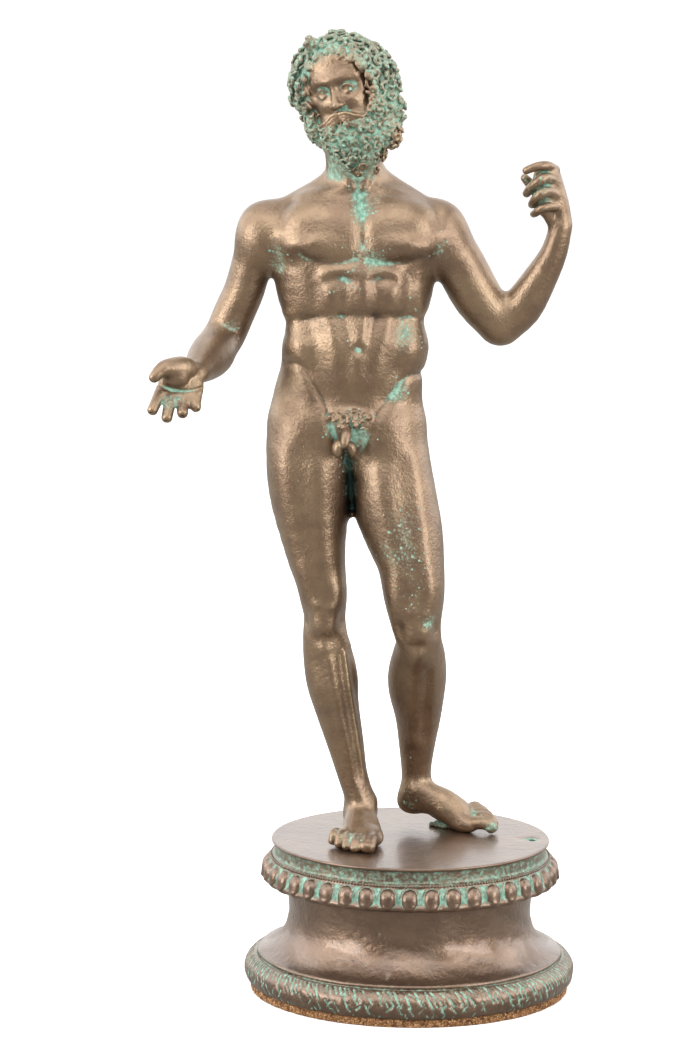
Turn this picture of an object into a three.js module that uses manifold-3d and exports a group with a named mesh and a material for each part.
// A classical nude bearded god, cast in plaster and painted as old bronze, on a round moulded plinth
// with a cork pad under it. Millimetres, +Z up, the figure faces -Y and its own right side is at -X.
import * as THREE from "three";
import { mergeVertices } from "three/addons/utils/BufferGeometryUtils.js";
import Module from "manifold-3d";

const wasm = await Module();
wasm.setup();

// Driving dimensions.
const CORK_RADIUS = 40;
const CORK_THICKNESS = 2;
const PLINTH_TOP = 38.25;
const RIM_RADIUS = 34.9;
const WAIST_RADIUS = 30.5; // the hollow of the plinth's drum
const FOOT_RADIUS = 41.5; // the torus that the plinth stands on
const EGG_BAND_RADIUS = 36.8;
const EGG_COUNT = 42;
const TURNS = EGG_COUNT; // sides of everything turned, one egg to a side

// The head's middle, its lean to its right shoulder and its turn that way, in radians.
const HEAD = [-17.9, 0.2, 225.3];
const HEAD_TILT = 0.27;
const HEAD_TURN = 0.3;
const HAIR_LOCKS = 120;
// Rows of beard locks: height, half width, depth in front, number.
const BEARD_ROWS = [
  [-8.2, 8.8, 7.2, 8],
  [-10.8, 8.3, 7.8, 8],
  [-13.4, 7.4, 8.1, 7],
  [-16, 5.6, 8.2, 6],
  [-18.6, 3, 7.8, 4],
];
// Toes from the big one: side of the root, side of the tip, reach over the foot's length, radius.
const TOES = [
  [2.8, 2, 1, 1.9],
  [0.1, -0.5, 0.97, 1.3],
  [-1.7, -2.3, 0.91, 1.25],
  [-3.3, -4, 0.83, 1.2],
  [-4.6, -5.4, 0.73, 1.15],
];

const CELL = 0.7; // grid that the figure is sculpted on
const FIGURE_LOW = [-68, -34, PLINTH_TOP - 2.5 * CELL];
const FIGURE_HIGH = [41, 26, 243];
const FIGURE_TRIANGLES = 6500;
const FAR = 6; // value of the empty grid

const BRONZE = { color: 0x84705c, roughness: 0.46, metalness: 0.45 };
const DARK_BRONZE = { color: 0x7b6a58, roughness: 0.48, metalness: 0.4 };
const CORK = { color: 0xb98a5c, roughness: 0.95, metalness: 0 };

// The two smooth joins of a sculpted form: min with a fillet, and a soft bell.
function softMin(a, b, blend) {
  const near = Math.max(blend - Math.abs(a - b), 0);
  return Math.min(a, b) - (near * near) / (4 * blend);
}

function bell(distance, width) {
  return Math.exp(-((distance / width) ** 2));
}

// Distance to an ellipsoid with these half sizes, close enough near its skin.
function ellipsoidDistance(x, y, z, a, b, c) {
  const reach = Math.hypot(x / a, y / b, z / c);
  const slope = Math.hypot(x / (a * a), y / (b * b), z / (c * c));
  return slope < 1e-6 ? -Math.min(a, b, c) : (reach * (reach - 1)) / slope;
}

// A ball or an egg, with its box.
function egg(centre, half) {
  const [a, b, c] = typeof half === "number" ? [half, half, half] : half;
  const [cx, cy, cz] = centre;
  return {
    low: [cx - a, cy - b, cz - c],
    high: [cx + a, cy + b, cz + c],
    distance: (x, y, z) => ellipsoidDistance(x - cx, y - cy, z - cz, a, b, c),
  };
}

// Stations are [x, y, z, half width, half depth]. This puts steps smooth ones between each two.
function refine(stations, steps) {
  const fine = [];
  for (let i = 0; i < stations.length - 1; i++) {
    const [before, from, to, after] = [i - 1, i, i + 1, i + 2].map(
      (n) => stations[Math.min(stations.length - 1, Math.max(0, n))],
    );
    for (let s = 0; s < steps; s++) {
      const t = s / steps;
      fine.push(
        from.map((value, k) => {
          const pull = (to[k] - before[k]) / 2;
          const push = (after[k] - value) / 2;
          const rise = to[k] - value;
          return (
            value +
            pull * t +
            (3 * rise - 2 * pull - push) * t * t +
            (pull + push - 2 * rise) * t * t * t
          );
        }),
      );
    }
  }
  fine.push(stations.at(-1));
  return fine;
}

// A limb: a smooth run of elliptical sections through the stations, wide along side.
function limb(stations, side = [1, 0, 0], steps = 2) {
  const full = stations.map((s) => (s.length === 4 ? [...s, s[3]] : s));
  const fine = steps > 1 && full.length > 2 ? refine(full, steps) : full;
  const spans = fine.slice(1).map((b, i) => {
    const a = fine[i];
    const along = new THREE.Vector3(b[0] - a[0], b[1] - a[1], b[2] - a[2]);
    const length = along.length();
    const t = along.clone().divideScalar(length);
    const u = new THREE.Vector3(...side);
    u.addScaledVector(t, -u.dot(t)).normalize();
    const v = new THREE.Vector3().crossVectors(t, u);
    return { a, b, length, t, u, v };
  });
  const low = [0, 1, 2].map((k) => Math.min(...fine.map((s) => s[k] - Math.max(s[3], s[4]))));
  const high = [0, 1, 2].map((k) => Math.max(...fine.map((s) => s[k] + Math.max(s[3], s[4]))));
  const distance = (x, y, z) => {
    let least = Infinity;
    for (const { a, b, length, t, u, v } of spans) {
      const px = x - a[0];
      const py = y - a[1];
      const pz = z - a[2];
      const run = px * t.x + py * t.y + pz * t.z;
      const share = Math.min(1, Math.max(0, run / length));
      const wide = a[3] + (b[3] - a[3]) * share;
      const deep = a[4] + (b[4] - a[4]) * share;
      const across = px * u.x + py * u.y + pz * u.z;
      const through = px * v.x + py * v.y + pz * v.z;
      const past = run - share * length;
      const d = ellipsoidDistance(across, through, past, wide, deep, Math.min(wide, deep));
      if (d < least) least = d;
    }
    return least;
  };
  return { low, high, distance };
}

// Distance from a point to a smooth curve through these points.
function curveDistance(points) {
  const fine = refine(points, points.length > 2 ? 3 : 1);
  return (x, y, z) => {
    let least = Infinity;
    for (let i = 1; i < fine.length; i++) {
      const [ax, ay, az] = fine[i - 1];
      const bx = fine[i][0] - ax;
      const by = fine[i][1] - ay;
      const bz = fine[i][2] - az;
      const run = ((x - ax) * bx + (y - ay) * by + (z - az) * bz) / (bx * bx + by * by + bz * bz);
      const share = Math.min(1, Math.max(0, run));
      const away = Math.hypot(x - ax - bx * share, y - ay - by * share, z - az - bz * share);
      if (away < least) least = away;
    }
    return least;
  };
}

// The clay: a grid of distances to the surface, under zero inside. What is done to it is given in
// the coordinates of its present pose.
class Clay {
  constructor(low, high, cell) {
    this.low = low;
    this.cell = cell;
    this.size = low.map((v, k) => Math.ceil((high[k] - v) / cell) + 1);
    this.values = new Float32Array(this.size[0] * this.size[1] * this.size[2]).fill(FAR);
    this.pose = new THREE.Matrix4();
  }

  // Changes every grid value inside a box.
  within(low, high, margin, change) {
    const box = new THREE.Box3(new THREE.Vector3(...low), new THREE.Vector3(...high));
    box.expandByScalar(margin).applyMatrix4(this.pose);
    const first = box.min.toArray().map((v, k) => (v - this.low[k]) / this.cell);
    const last = box.max.toArray().map((v, k) => (v - this.low[k]) / this.cell);
    const from = first.map((v) => Math.max(0, Math.floor(v)));
    const to = last.map((v, k) => Math.min(this.size[k] - 1, Math.ceil(v)));
    const back = this.pose.clone().invert();
    const point = new THREE.Vector3();
    for (let k = from[2]; k <= to[2]; k++)
      for (let j = from[1]; j <= to[1]; j++) {
        const row = (k * this.size[1] + j) * this.size[0];
        for (let i = from[0]; i <= to[0]; i++) {
          point.set(i, j, k).multiplyScalar(this.cell);
          point.x += this.low[0];
          point.y += this.low[1];
          point.z += this.low[2];
          point.applyMatrix4(back);
          this.values[row + i] = change(this.values[row + i], point.x, point.y, point.z);
        }
      }
  }

  add(form, blend = 1) {
    this.within(form.low, form.high, blend + 2 * this.cell, (value, x, y, z) =>
      softMin(value, form.distance(x, y, z), blend),
    );
  }

  cut(form, blend = 1) {
    this.within(form.low, form.high, blend + 2 * this.cell, (value, x, y, z) =>
      -softMin(-value, form.distance(x, y, z), blend),
    );
  }

  // Raises the skin round a point by height, or sinks it if height is under zero.
  swell(centre, reach, height) {
    const [cx, cy, cz] = centre;
    const [a, b, c] = sizes(reach);
    const low = [cx - 2 * a, cy - 2 * b, cz - 2 * c];
    const high = [cx + 2 * a, cy + 2 * b, cz + 2 * c];
    this.within(low, high, 0, (value, x, y, z) => {
      const away = Math.hypot((x - cx) / a, (y - cy) / b, (z - cz) / c);
      return value - height * bell(away, 1);
    });
  }

  // Raises a rounded ridge along a curve seen from the front or back, or presses a groove: the
  // points are [x, z], and only the skin with y on the near side of limit moves.
  trace(points, width, height, limit, facing = -1) {
    const distance = curveDistance(points.map(([x, z]) => [x, 0, z]));
    const xs = points.map((p) => p[0]);
    const zs = points.map((p) => p[1]);
    const ends = facing < 0 ? [-40, limit] : [limit, 40];
    const low = [Math.min(...xs) - 2 * width, ends[0], Math.min(...zs) - 2 * width];
    const high = [Math.max(...xs) + 2 * width, ends[1], Math.max(...zs) + 2 * width];
    this.within(low, high, 0, (value, x, y, z) => {
      const fade = Math.min(1, Math.max(0, (facing * (y - limit)) / 3));
      return value - height * fade * bell(distance(x, 0, z), width);
    });
  }

  // The skin as triangles, by cutting each cell into six tetrahedra.
  skin() {
    const [nx, ny, nz] = this.size;
    const corner = [0, 1, nx, nx + 1, nx * ny, nx * ny + 1, nx * ny + nx, nx * ny + nx + 1];
    const tetrahedra = [
      [0, 1, 3, 7],
      [0, 3, 2, 7],
      [0, 2, 6, 7],
      [0, 6, 4, 7],
      [0, 4, 5, 7],
      [0, 5, 1, 7],
    ];
    // Even reorderings of four corners, so that the triangles face out.
    const singles = ["0123", "1032", "2013", "3021"].map((s) => [...s].map(Number));
    const pairs = ["0123", "0231", "0312", "1203", "1320", "2301"].map((s) => [...s].map(Number));
    const points = [];
    const triangles = [];
    const known = new Map();
    let base = 0;
    let place = [0, 0, 0];
    const between = (a, b) => {
      const near = a & b;
      const far = a | b;
      const key = (base + corner[near]) * 8 + (far - near);
      if (known.has(key)) return known.get(key);
      const value = this.values[base + corner[near]];
      // Points stay off the grid's corners, so that no triangle is a sliver.
      const share = Math.min(0.9, Math.max(0.1, value / (value - this.values[base + corner[far]])));
      points.push(
        place.map((n, k) => {
          const step = n + ((near >> k) & 1) + (((far ^ near) >> k) & 1) * share;
          return this.low[k] + step * this.cell;
        }),
      );
      known.set(key, points.length - 1);
      return points.length - 1;
    };
    for (let k = 0; k < nz - 1; k++)
      for (let j = 0; j < ny - 1; j++)
        for (let i = 0; i < nx - 1; i++) {
          base = (k * ny + j) * nx + i;
          const solid = corner.map((c) => this.values[base + c] < 0);
          const count = solid.filter(Boolean).length;
          if (count === 0 || count === 8) continue;
          place = [i, j, k];
          for (const four of tetrahedra) {
            const deep = four.map((n) => solid[n]);
            const inside = deep.filter(Boolean).length;
            if (inside === 0 || inside === 4) continue;
            if (inside === 2) {
              const order = pairs.find(([m, n]) => deep[m] && deep[n]);
              const [p, q, r, s] = order.map((n) => four[n]);
              const [pr, ps, qs, qr] = [between(p, r), between(p, s), between(q, s), between(q, r)];
              triangles.push([pr, ps, qs], [pr, qs, qr]);
            } else {
              const order = singles.find(([m]) => deep[m] === (inside === 1));
              const [p, q, r, s] = order.map((n) => four[n]);
              const [pq, pr, ps] = [between(p, q), between(p, r), between(p, s)];
              triangles.push(inside === 1 ? [pq, pr, ps] : [pq, ps, pr]);
            }
          }
        }
    return { points, triangles };
  }
}

function sizes(reach) {
  return typeof reach === "number" ? [reach, reach, reach] : reach;
}

// Thins a closed skin to a number of triangles by drawing its least telling edges together.
function thin({ points, triangles }, target, weigh) {
  const at = Float64Array.from(points.flat());
  const faces = triangles.map((t) => [...t]);
  const alive = new Uint8Array(faces.length).fill(1);
  const around = points.map(() => []);
  faces.forEach((face, f) => face.forEach((v) => around[v].push(f)));
  const error = new Float64Array(points.length * 10);
  const stamp = new Int32Array(points.length);
  const normal = (a, b, c, out) => {
    const ux = b[0] - a[0];
    const uy = b[1] - a[1];
    const uz = b[2] - a[2];
    const vx = c[0] - a[0];
    const vy = c[1] - a[1];
    const vz = c[2] - a[2];
    out[0] = uy * vz - uz * vy;
    out[1] = uz * vx - ux * vz;
    out[2] = ux * vy - uy * vx;
    return Math.hypot(out[0], out[1], out[2]);
  };
  const point = (v) => [at[3 * v], at[3 * v + 1], at[3 * v + 2]];
  const longest = ([a, b, c]) =>
    Math.max(
      Math.hypot(a[0] - b[0], a[1] - b[1], a[2] - b[2]),
      Math.hypot(b[0] - c[0], b[1] - c[1], b[2] - c[2]),
      Math.hypot(c[0] - a[0], c[1] - a[1], c[2] - a[2]),
    );
  const n = [0, 0, 0];
  for (const face of faces) {
    const [a, b, c] = face.map(point);
    const area = normal(a, b, c, n);
    if (area < 1e-12) continue;
    const [x, y, z] = n.map((v) => v / area);
    const d = -(x * a[0] + y * a[1] + z * a[2]);
    const w = area * weigh(a);
    const parts = [x * x, x * y, x * z, x * d, y * y, y * z, y * d, z * z, z * d, d * d];
    for (const v of face) parts.forEach((part, k) => (error[10 * v + k] += w * part));
  }
  const cost = (q, [x, y, z]) =>
    q[0] * x * x + q[4] * y * y + q[7] * z * z + q[9] +
    2 * (q[1] * x * y + q[2] * x * z + q[3] * x + q[5] * y * z + q[6] * y + q[8] * z);
  const plan = (u, v) => {
    const q = [];
    for (let k = 0; k < 10; k++) q.push(error[10 * u + k] + error[10 * v + k]);
    const middle = point(u).map((x, k) => (x + at[3 * v + k]) / 2);
    // A light pull to the middle keeps the best point well placed on flat skin.
    const pull = 1e-4 * (q[0] + q[4] + q[7]) + 1e-9;
    const m = new THREE.Matrix3().set(
      q[0] + pull, q[1], q[2],
      q[1], q[4] + pull, q[5],
      q[2], q[5], q[7] + pull,
    );
    const to = new THREE.Vector3(
      pull * middle[0] - q[3],
      pull * middle[1] - q[6],
      pull * middle[2] - q[8],
    );
    const best = to.applyMatrix3(m.invert()).toArray();
    const length = Math.hypot(...[0, 1, 2].map((k) => at[3 * u + k] - at[3 * v + k]));
    const off = Math.hypot(...best.map((x, k) => x - middle[k]));
    const place = off < 2 * length ? best : middle;
    return { place, cost: Math.max(0, cost(q, place)) + 1e-5 * length * length };
  };
  const heap = [];
  const swap = (i, j) => ([heap[i], heap[j]] = [heap[j], heap[i]]);
  const offer = (u, v) => {
    const { place, cost: price } = plan(u, v);
    heap.push({ u, v, price, place, su: stamp[u], sv: stamp[v] });
    for (let i = heap.length - 1; i > 0; ) {
      const up = (i - 1) >> 1;
      if (heap[up].price <= heap[i].price) break;
      swap(i, up);
      i = up;
    }
  };
  const take = () => {
    const top = heap[0];
    const last = heap.pop();
    if (heap.length) heap[0] = last;
    for (let i = 0; ; ) {
      let least = 2 * i + 1;
      if (least >= heap.length) break;
      if (least + 1 < heap.length && heap[least + 1].price < heap[least].price) least++;
      if (heap[least].price >= heap[i].price) break;
      swap(i, least);
      i = least;
    }
    return top;
  };
  const neighbours = (v) => {
    const near = new Set();
    for (const f of around[v]) for (const w of faces[f]) if (w !== v) near.add(w);
    return near;
  };
  // True if moving v to place turns one of its faces, or makes it a sliver.
  const spoils = (v, other, place) => {
    for (const f of around[v]) {
      if (faces[f].includes(other)) continue;
      const old = faces[f].map(point);
      const now = faces[f].map((w, k) => (w === v ? place : old[k]));
      const before = normal(old[0], old[1], old[2], n);
      const [x, y, z] = n;
      const after = normal(now[0], now[1], now[2], n);
      if (after < 1e-5) return true;
      if (n[0] * x + n[1] * y + n[2] * z < 0.1 * before * after) return true;
      const shape = after / longest(now) ** 2;
      if (shape < 0.04 && shape < before / longest(old) ** 2) return true;
    }
    return false;
  };
  let count = faces.length;
  let before = Infinity;
  while (count > target) {
    if (heap.length === 0) {
      if (count === before) break;
      before = count;
      points.forEach((_, v) => {
        for (const w of neighbours(v)) if (v < w) offer(v, w);
      });
    }
    const { u, v, place, su, sv } = take();
    if (stamp[u] !== su || stamp[v] !== sv) continue;
    const near = neighbours(v);
    const shared = [...neighbours(u)].filter((w) => near.has(w));
    if (shared.length !== 2) continue;
    if (spoils(u, v, place) || spoils(v, u, place)) continue;
    for (let k = 0; k < 3; k++) at[3 * u + k] = place[k];
    for (let k = 0; k < 10; k++) error[10 * u + k] += error[10 * v + k];
    for (const f of around[v]) {
      if (faces[f].includes(u)) {
        alive[f] = 0;
        count--;
        for (const w of faces[f]) if (w !== v) around[w] = around[w].filter((g) => g !== f);
      } else {
        faces[f] = faces[f].map((w) => (w === v ? u : w));
        around[u].push(f);
      }
    }
    around[v] = [];
    stamp[u]++;
    stamp[v] = -1;
    for (const w of neighbours(u)) offer(u, w);
  }
  const used = new Map();
  const kept = [];
  const places = [];
  faces.forEach((face, f) => {
    if (!alive[f]) return;
    for (const v of face) {
      if (!used.has(v)) {
        used.set(v, used.size);
        places.push(point(v));
      }
      kept.push(used.get(v));
    }
  });
  return { points: places, triangles: kept };
}

// Two thighs, knees, calves and feet; the right leg carries the weight and the left heel is up.
function sculptLegs(clay) {
  const rightLeg = [
    [-26.2, 1, 141, 9.6, 10.5],
    [-25.9, 0.3, 132.6, 10.4, 11.6],
    [-25.5, 0, 123.6, 9.6, 10.8],
    [-24.4, -1, 112.7, 7.4, 9],
    [-23, -1.5, 104.7, 6.1, 7.6],
    [-22.1, -2, 96.7, 5.5, 6.6],
    [-21.8, -1, 89.5, 5.6, 6],
    [-21, 0.3, 84.3, 6.3, 6.4],
    [-20, 1.2, 78, 6.5, 6.9],
    [-18.9, 2, 71.7, 5.7, 6],
    [-16.5, 3, 61.3, 4.6, 4.8],
    [-14.8, 4, 53.5, 3.8, 4.5],
    [-12.6, 4.4, 46.5, 3.6, 5],
  ];
  const leftLeg = [
    [-7.2, 1, 141, 9.6, 10.4],
    [-6.1, 0, 132.8, 9.6, 11.3],
    [-5, -2, 124.1, 10.3, 10.8],
    [-2.7, -3.5, 116.5, 9.6, 10],
    [-0.8, -5, 109.5, 8.2, 9],
    [0.1, -6, 101.7, 7.3, 8],
    [0.9, -6.3, 94, 6.3, 7],
    [1.6, -4.5, 89, 5.7, 6.4],
    [1.6, -1, 84.7, 6.6, 6.6],
    [1.3, 2.5, 80, 7.3, 7],
    [1.2, 5, 75.4, 7.1, 6.8],
    [1.6, 8.4, 68, 5.8, 5.8],
    [1.4, 10.8, 59.9, 4.6, 4.7],
    [1.3, 12.8, 53, 3.8, 4.3],
    [1.6, 13.8, 47.5, 3.7, 4.3],
  ];
  clay.add(limb(rightLeg), 3);
  clay.add(limb(leftLeg), 3);
  clay.add(egg([-25, 6, 134.5], [9.6, 9.2, 10.5]), 3); // buttocks
  clay.add(egg([-8.6, 6, 133.2], [9.4, 9, 10.2]), 3);
  clay.add(egg([-15.8, 3, 127], [5, 6, 7]), 3);
  // Fronts of the thighs: the long muscles, and the teardrops over the knee.
  for (const [width, height, ...points] of [
    [3.4, 0.8, [-34, 136], [-33.4, 128], [-31, 119], [-28.6, 108]],
    [2.6, -0.9, [-27.8, 136], [-27, 127], [-26, 117], [-25, 108]],
    [3, 0.9, [-22.8, 132], [-22.4, 121], [-21.4, 110]],
    [3.2, 0.9, [1.6, 135], [2.2, 123], [3, 110], [3.4, 102]],
    [2.4, -0.9, [-3.4, 134], [-2, 123], [-0.4, 111], [0.2, 103]],
    [3, 0.6, [-8.8, 130], [-6.4, 119], [-3.8, 107]],
  ])
    clay.trace(points, width, height, 2);
  clay.swell([-18.6, -7, 101.5], [3, 6, 5.5], 1);
  clay.swell([-26.6, -7, 104], [3, 6, 6], 0.8);
  clay.swell([-4.4, -11, 101], [3, 6, 5.5], 1);
  clay.swell([5, -11, 103], [3, 6, 6], 0.8);
  for (const [x, y, z] of [
    [-22, -8.2, 93.6],
    [1.4, -13, 92.8],
  ]) {
    clay.add(egg([x, y + 2.9, z], [3.1, 3, 3.6]), 2.5); // kneecap
    clay.swell([x + 0.2, y + 2, z - 6], [1.6, 4, 2.6], 0.5);
    for (const side of [-4.3, 4.3]) clay.swell([x + side, y + 3, z + 0.5], [1.5, 4, 3], -0.9);
  }
  clay.trace([[-20.6, 84], [-18.4, 72], [-15.4, 60], [-13.6, 52]], 1.4, 0.6, 0); // shin bones
  clay.trace([[0.6, 84], [0, 74], [0.4, 62]], 1.4, 0.6, 8);
  clay.swell([-21.5, 7.6, 78.5], [5, 4, 8], 0.9); // calves
  clay.swell([1.3, 9.6, 79], [5.5, 4.5, 8], 0.9);
}

// A foot in its own coordinates: the heel is at 0, the toes point to -Y, and the floor is at 0.
function sculptFoot(clay, { length, lift, slope, inner, spread }) {
  const heel = 0.14 * length;
  const ankle = [
    [0.1 * inner, 0.8, 6 + lift, 3.2, 3.8],
    [0.2 * inner, -2, 4.6 + lift, 3.4, 3.4],
  ];
  const instep = [
    [0.3 * inner, -2.6, 5.8 + lift, 3.1, 3.2],
    [0.5 * inner, -0.3 * length, 4.1 + 0.75 * lift, 3.9, 3.1 + 0.45 * lift],
    [0.6 * inner, -0.46 * length, 2.9 + 0.4 * lift, 4.5, 2.5 + 0.4 * lift],
    [0.2 * inner, -0.58 * length, 2.3 + slope, 5, 2 + slope],
    [0, -0.66 * length, 1.8 + slope, 5, 1.5 + slope],
  ];
  clay.add(limb(ankle), 2);
  clay.add(egg([0, 1, heel + lift], [3.3, 4, heel]), 2);
  clay.add(limb(instep), 2);
  clay.add(egg([3.2 * inner, -0.6 * length, 1.9], [1.9, 3.4, 1.9]), 1.8); // ball of the big toe
  clay.add(egg([-3.3 * inner, -0.54 * length, 1.5], [1.9, 3.2, 1.6]), 1.5);
  TOES.forEach(([root, tip, reach, thick], i) => {
    const start = -length * (0.7 - 0.035 * i);
    const end = -reach * length + thick;
    const middle = (root * 0.45 + (tip + spread) * 0.55) * inner;
    const toe = [
      [root * inner, start, 2.3 + slope * i, thick, thick * 0.9],
      [middle, (start + end) / 2, 2.4 + slope * i + (i ? 0.3 : 0), thick * 0.95, thick * 0.85],
      [(tip + spread) * inner, end, thick * 0.8 + slope * i, thick, thick * 0.8],
    ];
    clay.add(limb(toe), 0.4);
  });
  clay.swell([3.2 * inner, -1.5, 8.6 + lift], [1.4, 2, 2], 0.6); // ankle bones
  clay.swell([-3.1 * inner, -1.2, 8 + lift], [1.3, 2, 2], 0.2);
}

function sculptTrunk(clay) {
  clay.add(
    limb([
      [-17, 0.5, 136, 18.6, 11.2],
      [-17, 0.2, 142.5, 19.1, 11.4],
      [-16.6, -0.2, 148.6, 18.5, 10.6],
      [-15.4, -1, 156.6, 17.3, 10.3],
      [-14.2, -1.3, 166, 15.9, 9.4],
      [-15, -0.8, 172.5, 18, 10.4],
      [-15.4, -0.4, 180.3, 19.2, 11.2],
      [-15.2, 0, 187.5, 19.4, 11],
      [-15, 0.6, 193, 17.5, 9],
      [-14.8, 1, 197, 13, 6.4],
    ]),
    3,
  );
  // Neck, and the slopes from it to the shoulders.
  clay.add(limb([[-14.8, 1, 198, 7.6], [-15.4, 0.6, 205, 6.9], [-16.4, 0.4, 213, 6.8]]), 3);
  clay.add(limb([[-15, 3, 205, 4], [-24, 3, 198.4, 4.2], [-33, 1.6, 194, 4]]), 3);
  clay.add(limb([[-15, 3, 205, 4], [-5.5, 3, 198.8, 4.2], [2, 1.6, 194.6, 4]]), 3);
  clay.add(egg([-36.9, 0.6, 188.6], [7.6, 7.2, 8.8]), 3); // shoulders
  clay.add(egg([5.4, 0.6, 188.8], [7.2, 7, 8.8]), 3);
  // Chest.
  clay.add(egg([-23.8, -4, 190.4], [11.2, 6.9, 8.4]), 3.5);
  clay.add(egg([-4.6, -4, 190.4], [10.8, 6.9, 8.4]), 3.5);
  for (const x of [-24.2, -4.2]) clay.add(egg([x, -6, 187.4], [8.8, 5.5, 4]), 2); // its fuller lower edge
  clay.add(egg([-13, -3.6, 175.8], [13.2, 8.6, 8]), 2); // front of the rib cage
  clay.add(egg([-14.2, -4.6, 161], [9.2, 7.8, 10.5]), 3); // belly
  clay.add(egg([-25.6, -0.6, 162.4], [6.9, 8.6, 6.4]), 3.5); // flanks over the hip bones
  clay.add(egg([-3.4, -0.6, 162], [6.2, 8.6, 6]), 3.5);
  clay.add(egg([-30, 3, 181], [4.6, 6.6, 11]), 3); // back muscles seen under the arms
  clay.add(egg([-0.4, 3, 181], [4.6, 6.6, 11]), 3);
  for (const side of [-1, 1]) {
    clay.swell([-14.6 + 10.5 * side, 9, 191], [6, 6, 7], 1.6); // shoulder blades
    clay.swell([-15 + 4.5 * side, 9, 168], [3, 6, 16], 0.9);
  }
  // The hollow of the spine and the seam below it, on the back.
  const spine = [[-14.8, 204], [-15, 185], [-14.6, 166], [-16, 150], [-17, 141], [-17, 128]];
  clay.trace(spine, 1.6, -1.3, 2, 1);
  // Lines of the front: width, height, limit, and the points they run through.
  for (const [width, height, limit, ...points] of [
    [1.3, 0.45, 0, [-14, 202], [-21.2, 200.8], [-27.3, 200.1], [-33, 198.8]], // collarbones
    [1.3, 0.45, 0, [-13.5, 202], [-6.9, 201.2], [-1.8, 201.1], [5, 200.3]],
    [1.5, -0.7, 0, [-13.6, 197], [-13.4, 190], [-13.2, 184]], // breastbone
    [1.2, -0.5, 0, [-33.8, 190], [-29.4, 187.2], [-26.5, 184], [-21.2, 183.1], [-13.6, 184.4]],
    [1.2, -0.5, 0, [2.9, 187.7], [2.3, 185.8], [-1.9, 183.8], [-6.7, 183.3], [-13, 184.4]],
    [1.3, 0.45, 0, [-13.1, 182], [-12.8, 176], [-12.8, 170], [-13.4, 164]], // middle of the belly
    [1.8, -0.7, 0, [-17.9, 179], [-17.9, 175], [-18.2, 170], [-16.8, 163], [-17, 157]],
    [1.7, -0.65, 0, [-9, 179], [-9.4, 175], [-10, 170], [-11.4, 163], [-11.6, 157]],
    [1, -0.35, 0, [-28, 169.4], [-19.8, 170.4], [-13.2, 170.5], [-6.4, 170.3], [1.4, 169.4]],
    [2.4, -0.7, 0, [-26, 168], [-24.6, 160], [-21.5, 151]],
    [2.4, -0.6, 0, [-3.6, 168], [-4.6, 160], [-7.4, 151]],
    [0.9, -0.6, 3, [-31.6, 158.4], [-29.6, 158.6], [-27.1, 157], [-23.4, 150.9], [-21.3, 146]], // hips
    [0.9, -0.6, 3, [1.4, 155.8], [0, 155.9], [-2.8, 154.8], [-5.6, 151.1], [-9.6, 146.1]],
    [1.1, -1, 0, [-21.4, 145.4], [-19.4, 140], [-17.2, 134]], // groin
    [1.1, -1, 0, [-9.8, 145.4], [-11.6, 140], [-14.6, 134]],
  ])
    clay.trace(points, width, height, limit);
  clay.swell([-14.2, -8.5, 200.3], [2, 5, 2], -1); // pit of the throat
  clay.swell([-14, -12, 162.2], [1.2, 4, 1.2], -1.1); // navel
  clay.swell([-15, -11, 150], [7, 5, 4], -0.6);
  // Pubic curls and sex.
  clay.add(egg([-16, -7.6, 144.6], [6, 3.6, 3.4]), 2);
  for (let i = 0; i < 9; i++) {
    const row = i % 2;
    clay.add(egg([-20.4 + 1.15 * i, -11.2 + 0.2 * Math.abs(i - 4), 145.6 - 2 * row], 1.25), 0.4);
  }
  clay.add(egg([-18.5, -11.6, 138], [1.6, 1.8, 2.3]), 0.5);
  clay.add(egg([-16.3, -11.6, 137.6], [1.6, 1.8, 2.2]), 0.5);
  clay.add(limb([[-17, -11, 142.8, 1], [-17, -13, 141.4, 1.1], [-17.1, -13.3, 139.9, 1]]), 0.4);
}

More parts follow.
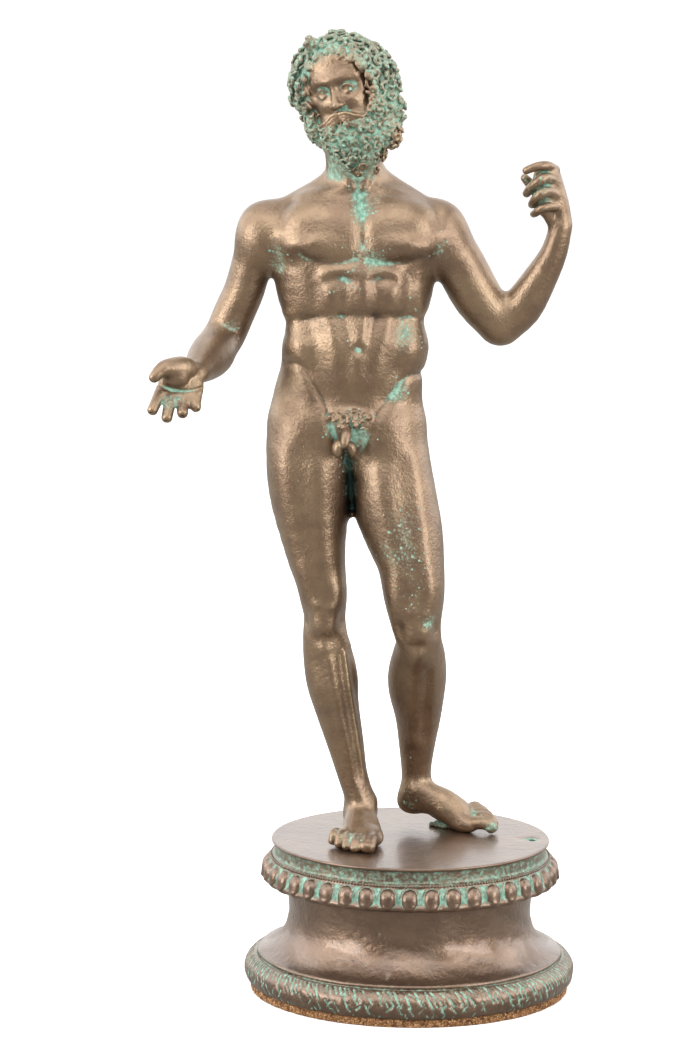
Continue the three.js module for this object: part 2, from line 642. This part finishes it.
function sculptArms(clay) {
  // The right arm hangs back and its forearm comes forward, palm up.
  clay.add(
    limb([
      [-37.6, 1, 191.4, 5.6, 6],
      [-40.2, 2, 183.9, 5, 5.8],
      [-42.4, 3.2, 175.9, 5, 5.9],
      [-45, 4, 169.8, 5.1, 5.6],
      [-47.2, 3.4, 164.6, 5.1, 5],
      [-49, 0, 161.8, 5.2, 5.2],
      [-50.2, -4, 160, 5.5, 5.5],
      [-51.4, -9.5, 158.8, 4.8, 4.8],
      [-52.4, -14.5, 157.8, 3.8, 3.7],
      [-53.2, -18.5, 157, 3.3, 2.9],
    ]),
    2,
  );
  clay.add(
    limb(
      [
        [-54, -19.6, 157, 3.4, 2.4],
        [-55.8, -21.6, 155.4, 5.1, 2.3],
        [-57, -23.4, 152.9, 5.7, 2],
        [-57.4, -24.8, 150.7, 5.6, 1.6],
      ],
      [1, 0, -0.15],
    ),
    1,
  );
  clay.add(
    limb([
      [-54.4, -20.8, 157.6, 2.5],
      [-56.2, -22.8, 158.4, 3],
      [-58.6, -25, 158.7, 2.6],
      [-60.8, -26.8, 158.6, 1.9],
      [-62.7, -28.1, 156.8, 1.35],
    ]),
    0.6,
  );
  clay.add(egg([-57.8, -24.4, 156.4], [3.2, 2.2, 2.6]), 0.8);
  // Four fingers broken off short.
  for (const [root, tip, thick] of [
    [[-61.6, -25, 152.4], [-63.1, -28.2, 148.9], 1.4],
    [[-59, -25.6, 151], [-59.6, -28.8, 147.2], 1.42],
    [[-56, -25.2, 150.6], [-55.9, -27.8, 148.2], 1.4],
    [[-53.4, -24, 151.2], [-52.8, -25.4, 149.3], 1.25],
  ])
    clay.add(limb([[...root, thick], [...tip, thick * 0.95]], [1, 0, 0], 1), 0.9);

  // The left arm is bent up, its hand closed round a staff that is gone.
  clay.add(
    limb([
      [5.2, 1, 192, 5.8, 6],
      [10.6, 1.5, 182.4, 6.2, 6.4],
      [15.2, 2.4, 174.2, 6.1, 6.2],
      [20.2, 3, 168, 5.3, 5.3],
    ]),
    2,
  );
  clay.add(
    limb([
      [21.4, 3.2, 167.4, 4.8, 4.8],
      [26, 2.2, 171.9, 5.1, 4.9],
      [30.3, 0.4, 179, 4.2, 4.2],
      [33.6, -1, 185.6, 3.3, 3.4],
      [35.2, -1.8, 192, 2.8, 3],
    ]),
    2,
  );
  clay.add(
    limb([
      [35.3, -1.2, 193.4, 2.6, 2.9],
      [34.7, -0.8, 197.5, 2.5, 3.6],
      [33.4, -0.8, 203, 2.2, 3.8],
      [32.8, -0.8, 205.2, 2, 3.2],
    ]),
    1,
  );
  // Heel of the hand and the closed palm, then four fingers and the thumb.
  clay.add(limb([[33.4, -2.2, 192.4, 1.2], [32, -3.6, 195.2, 1.5], [31, -3.8, 197, 1.5]]), 1);
  const palm = [
    [31.2, -3.8, 197, 2.6, 2],
    [31, -4.2, 201, 3.2, 2.2],
    [31.4, -4, 205.4, 3, 1.6],
  ];
  clay.add(limb(palm), 0.8);
  for (const finger of [
    [
      [33.6, -2.2, 206, 1.2],
      [31.5, -5.4, 207.1, 1.2],
      [29, -6.8, 207, 1.1],
      [26.4, -6.4, 206, 0.95],
    ],
    [
      [34.1, -2.8, 202.8, 1.3],
      [31.4, -6.2, 204.2, 1.35],
      [29.6, -7.4, 203.6, 1.3],
      [27.6, -6, 201.8, 1.15],
      [26.7, -3.8, 200.3, 1.05],
    ],
    [
      [34.4, -3, 199.6, 1.3],
      [31.6, -6.4, 200.9, 1.3],
      [29.8, -7.6, 200.3, 1.25],
      [28.4, -6, 198.6, 1.1],
      [28, -3.8, 197.6, 1],
    ],
    [
      [34.4, -3, 197, 1.2],
      [32, -6, 197.2, 1.15],
      [30.2, -7.2, 196.8, 1.1],
      [28.9, -5.8, 195.7, 1],
      [28.4, -4, 195.3, 0.9],
    ],
    [
      [33, 0.6, 197.6, 1.9],
      [30.4, 0.2, 200.2, 1.7],
      [27.9, -1.8, 202.2, 1.35],
      [26.2, -3, 204, 1.05],
    ],
  ])
    clay.add(limb(finger), 0.4);
}

// The head in its own coordinates: 0 is between the ears, the face looks to -Y.
function sculptHead(clay) {
  clay.add(egg([0, 0.6, 2.2], [8.3, 9.9, 10.2]), 2);
  clay.add(egg([0, -2.6, -4.6], [6.6, 6.9, 8]), 3);
  clay.add(egg([0, -2, 3], [7.2, 7.7, 7.5]), 1.5); // brow
  clay.add(egg([-1.1, 2.4, 0.8], [11.2, 10.6, 11.2]), 0.2); // mass of the hair
  clay.cut(egg([0.3, -11.2, 0], [8, 5.8, 8.9]), 1.5);
  clay.add(egg([0.2, -2.4, -0.6], [7.5, 7.1, 9.4]), 1);
  clay.add(egg([0.2, -1.5, 3.6], [7.6, 7.5, 6.4]), 1.5);
  clay.swell([0, -9, 2.8], [6, 3, 1.2], 0.6);
  for (const side of [-1, 1]) {
    clay.swell([3.3 * side, -9.3, 0.5], [2.3, 3, 1.5], -1.3);
    clay.add(egg([3.3 * side, -7.2, 0.4], [1.5, 1.4, 1.1]), 0.3);
    clay.swell([3.6 * side, -8.6, -3], [2, 3, 1.6], 0.5);
  }
  clay.add(limb([[0, -8.4, 2, 0.9], [0, -9.6, -1, 1], [0, -10.4, -3.6, 1.3]]), 0.8);
  // Beard and moustache.
  const beard = [
    [0.6, -4.2, -8.4, 8.4, 5],
    [0.8, -5.6, -12.8, 7.6, 4.6],
    [0.8, -6.8, -16.6, 4.8, 3.4],
  ];
  clay.add(limb(beard), 2);
  clay.add(egg([8.6, 0.4, -6.4], [3.4, 5, 5.6]), 2);
  clay.add(egg([7.2, -1.4, -12.6], [3, 4.2, 3.8]), 2);
  for (const side of [-1, 1]) {
    clay.add(limb([[9 * side, 1, -6, 2.5], [7.8 * side, -2.6, -9.6, 2.7], [0, -8, -10.6, 2]]), 2);
    clay.add(limb([[4.8 * side, -7.8, -8.2, 1.2], [2 * side, -9.8, -6.4, 1.3], [0, -10.2, -6, 1.1]]), 0.4);
  }
  // Locks of hair, evenly spread over the skull by the golden angle.
  for (let i = 0; i < HAIR_LOCKS; i++) {
    const height = 1 - (2 * i + 1) / HAIR_LOCKS;
    const turn = i * Math.PI * (3 - Math.sqrt(5));
    const flat = Math.sqrt(1 - height * height);
    const [x, y, z] = [flat * Math.sin(turn), flat * Math.cos(turn), height];
    const face = y < -0.35 && Math.abs(x - 0.03) < 0.68 && z < 0.6;
    if (face || z < -0.72 || (z < -0.4 && y < 0.1 && x < 0.4)) continue;
    clay.add(egg([-0.9 + 11.7 * x - 0.6 * z, 2.4 + 10.9 * y, 0.7 + 11.2 * z], 2.2), 0.5);
  }
  clay.add(egg([-4.4, -3, 12.2], 2.5), 0.5);
  for (const [row, [z, wide, deep, count]] of BEARD_ROWS.entries()) {
    for (let i = 0; i < count; i++) {
      const turn = ((i + 0.5 * (row % 2)) / (count - 1) - 0.5) * 2.5;
      clay.add(egg([0.9 + wide * Math.sin(turn), -deep * Math.cos(turn) - 2.2, z], 1.55), 0.4);
    }
  }
}

function figure() {
  const clay = new Clay(FIGURE_LOW, FIGURE_HIGH, CELL);
  sculptTrunk(clay);
  sculptLegs(clay);
  sculptArms(clay);
  clay.pose = standing([-13, 6.3, PLINTH_TOP], 0).scale(new THREE.Vector3(1.14, 1, 1));
  sculptFoot(clay, { length: 26.4, lift: 0, slope: 0.12, inner: 1, spread: 0 });
  clay.pose = standing([1.9, 14.2, PLINTH_TOP + 1], 1.25);
  clay.pose.multiply(new THREE.Matrix4().makeRotationY(-0.27)); // the outer side of the foot is up
  sculptFoot(clay, { length: 22.5, lift: 2.4, slope: 0.14, inner: -1, spread: 0.8 });
  clay.pose = new THREE.Matrix4().makeTranslation(...HEAD);
  clay.pose.multiply(new THREE.Matrix4().makeRotationY(-HEAD_TILT));
  clay.pose.multiply(new THREE.Matrix4().makeRotationZ(-HEAD_TURN));
  sculptHead(clay);
  // The soles are flat on the plinth.
  clay.pose = new THREE.Matrix4();
  clay.within([-68, -34, PLINTH_TOP - 3], [41, 30, PLINTH_TOP + 3], 0, (value, x, y, z) =>
    Math.max(value, PLINTH_TOP - z),
  );
  const { points, triangles } = thin(clay.skin(), FIGURE_TRIANGLES, ([x, , z]) => {
    if (z > 204 && x < 0) return 8;
    return z > 192 && x > 24 ? 5 : z < 46 || x < -50 ? 4 : 1;
  });
  for (const p of points) if (p[2] < PLINTH_TOP + 0.08) p[2] = PLINTH_TOP;
  const geometry = new THREE.BufferGeometry();
  geometry.setAttribute("position", new THREE.Float32BufferAttribute(points.flat(), 3));
  geometry.setIndex(triangles);
  return geometry;
}

function standing([x, y, z], turn) {
  const pose = new THREE.Matrix4().makeTranslation(x, y, z);
  return pose.multiply(new THREE.Matrix4().makeRotationZ(turn));
}

function solidOf(geometry) {
  const bare = new THREE.BufferGeometry();
  bare.setAttribute("position", geometry.getAttribute("position"));
  if (geometry.index) bare.setIndex(geometry.index);
  const joined = mergeVertices(bare, 1e-4);
  const mesh = new wasm.Mesh({
    numProp: 3,
    vertProperties: Float32Array.from(joined.getAttribute("position").array),
    triVerts: Uint32Array.from(joined.index.array),
  });
  mesh.merge();
  return new wasm.Manifold(mesh);
}

function geometryOf(solid) {
  const mesh = solid.getMesh();
  const geometry = new THREE.BufferGeometry();
  geometry.setAttribute("position", new THREE.BufferAttribute(mesh.vertProperties, 3));
  geometry.setIndex(new THREE.BufferAttribute(mesh.triVerts, 1));
  return geometry;
}

// Turned about Z from a profile of [radius, height], bottom to top.
function turned(profile) {
  const points = [[0, profile[0][1]], ...profile, [0, profile.at(-1)[1]]];
  const geometry = new THREE.LatheGeometry(
    points.map(([r, z]) => new THREE.Vector2(r, z)),
    TURNS,
  );
  return geometry.rotateX(Math.PI / 2);
}

function plinth() {
  const drum = turned([
    [40.4, CORK_THICKNESS],
    [41.3, CORK_THICKNESS + 1.6],
    [FOOT_RADIUS, 5.4],
    [40.6, 7.8],
    [38.2, 9],
    [38, 9.9],
    [34.4, 11.5],
    [31.8, 14.5],
    [WAIST_RADIUS, 18.5],
    [WAIST_RADIUS + 0.5, 27],
    [EGG_BAND_RADIUS - 2.2, 27.5],
    [EGG_BAND_RADIUS - 0.9, 28.5],
    [EGG_BAND_RADIUS - 1, 31.4],
    [34.1, 34.2],
    [34.1, 37.2],
    [RIM_RADIUS, 37.6],
    [RIM_RADIUS, PLINTH_TOP],
  ]);
  const eggs = [];
  for (let i = 0; i < EGG_COUNT; i++) {
    const one = new THREE.SphereGeometry(1, 6, 3).rotateX(Math.PI / 2).scale(1.5, 2.1, 2.4);
    one.translate(EGG_BAND_RADIUS - 0.9, 0, 30.9).rotateZ(((i + 0.5) / EGG_COUNT) * 2 * Math.PI);
    eggs.push(solidOf(one));
  }
  return geometryOf(wasm.Manifold.union([solidOf(drum), ...eggs]));
}

function piece(name, geometry, finish) {
  const mesh = new THREE.Mesh(geometry, new THREE.MeshStandardMaterial(finish));
  mesh.name = name;
  return mesh;
}

const cork = turned([
  [CORK_RADIUS, 0],
  [CORK_RADIUS, CORK_THICKNESS],
]);

const group = new THREE.Group();
group.name = "jupiter_plaster_statue";
group.add(piece("figure", figure(), BRONZE));
group.add(piece("plinth", plinth(), DARK_BRONZE));
group.add(piece("cork_pad", cork, CORK));

export default group;
